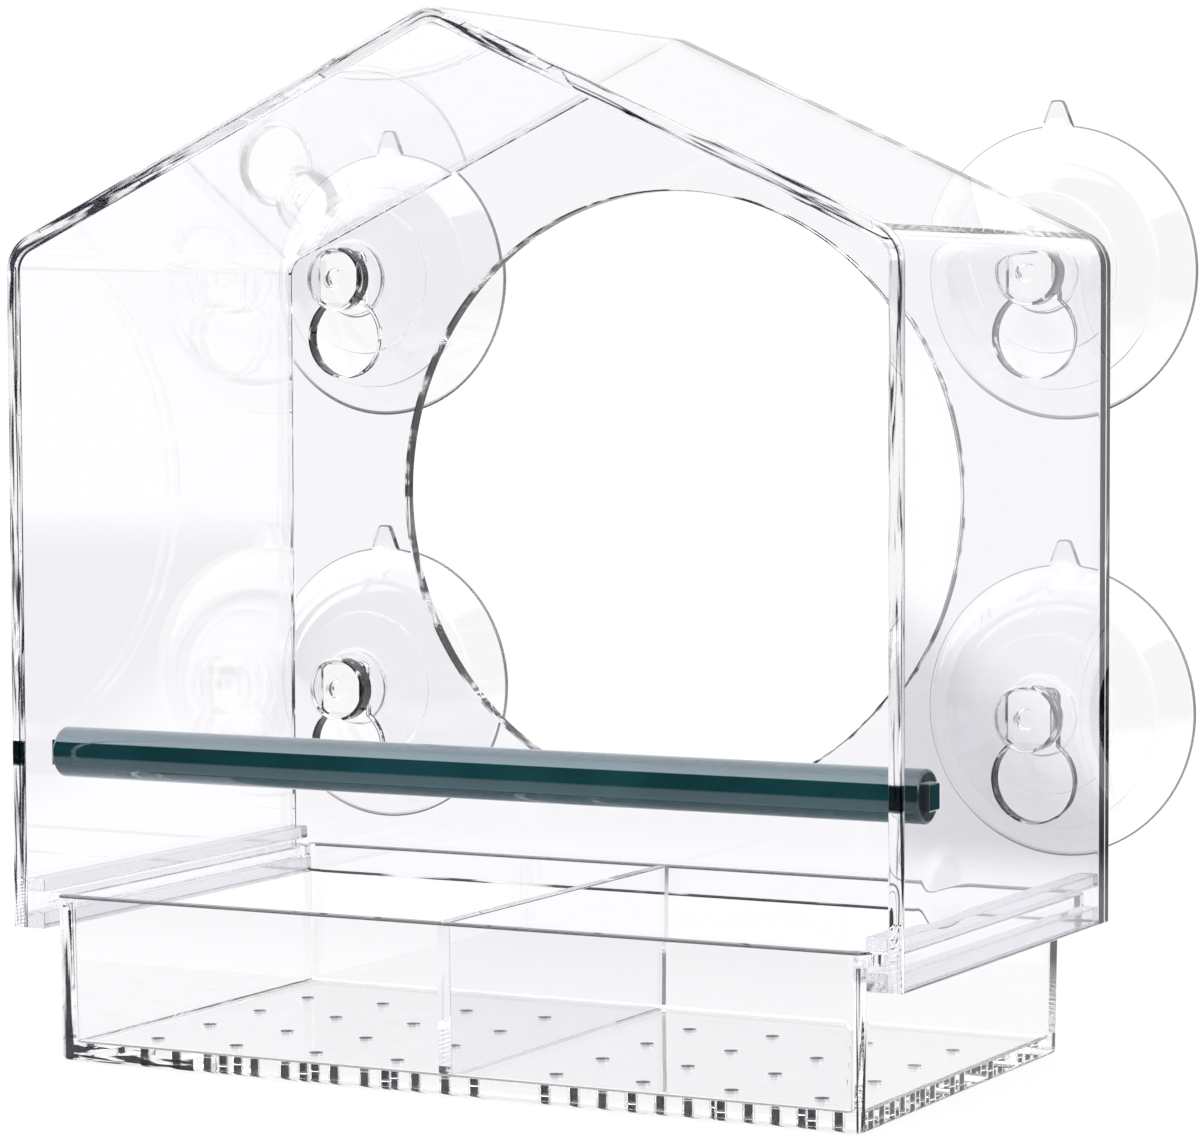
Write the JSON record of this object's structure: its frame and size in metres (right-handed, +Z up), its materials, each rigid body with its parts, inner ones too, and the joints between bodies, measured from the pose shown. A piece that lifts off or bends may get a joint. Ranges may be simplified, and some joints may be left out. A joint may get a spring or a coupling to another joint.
{
  "type": "window bird feeder",
  "caption": "Clear house-shaped window bird feeder: bent roof and walls, holed back panel, sliding drained tray, round perch and suction cups in keyholes.",
  "frame": {"origin": "middle of the tray's underside", "axes": "+Z up, the open front with the perch towards -Y, the window and the suction cups towards +Y, +X to the right seen from the front"},
  "size_m": [0.1716, 0.0938, 0.1617],
  "materials": {
    "clear_acrylic": "clear cast acrylic sheet with polished edges",
    "clear_tray_plastic": "clear moulded acrylic",
    "clear_soft_pvc": "clear soft PVC",
    "teal_plastic": "glossy dark teal plastic"
  },
  "bodies": {
    "house": {"house_shell": "clear_acrylic", "back_panel": "clear_acrylic", "left_upper_rail": "clear_acrylic", "left_lower_rail": "clear_acrylic", "right_upper_rail": "clear_acrylic", "right_lower_rail": "clear_acrylic", "perch": "teal_plastic"},
    "tray": {"tray": "clear_tray_plastic", "tray_divider": "clear_acrylic"},
    "suction_cup_lower_left": {"suction_cup_lower_left": "clear_soft_pvc"},
    "suction_cup_lower_right": {"suction_cup_lower_right": "clear_soft_pvc"},
    "suction_cup_upper_left": {"suction_cup_upper_left": "clear_soft_pvc"},
    "suction_cup_upper_right": {"suction_cup_upper_right": "clear_soft_pvc"}
  },
  "joints": [
    {"name": "tray_slide", "type": "slide", "parent": "house", "child": "tray", "axis": [0, -1, 0], "range_m": [0, 0.07]},
    {"name": "keyhole_slide_lower_left", "type": "slide", "parent": "house", "child": "suction_cup_lower_left", "axis": [0, 0, -1], "range_m": [0, 0.01]},
    {"name": "keyhole_slide_lower_right", "type": "slide", "parent": "house", "child": "suction_cup_lower_right", "axis": [0, 0, -1], "range_m": [0, 0.01]},
    {"name": "keyhole_slide_upper_left", "type": "slide", "parent": "house", "child": "suction_cup_upper_left", "axis": [0, 0, -1], "range_m": [0, 0.01]},
    {"name": "keyhole_slide_upper_right", "type": "slide", "parent": "house", "child": "suction_cup_upper_right", "axis": [0, 0, -1], "range_m": [0, 0.01]}
  ]
}
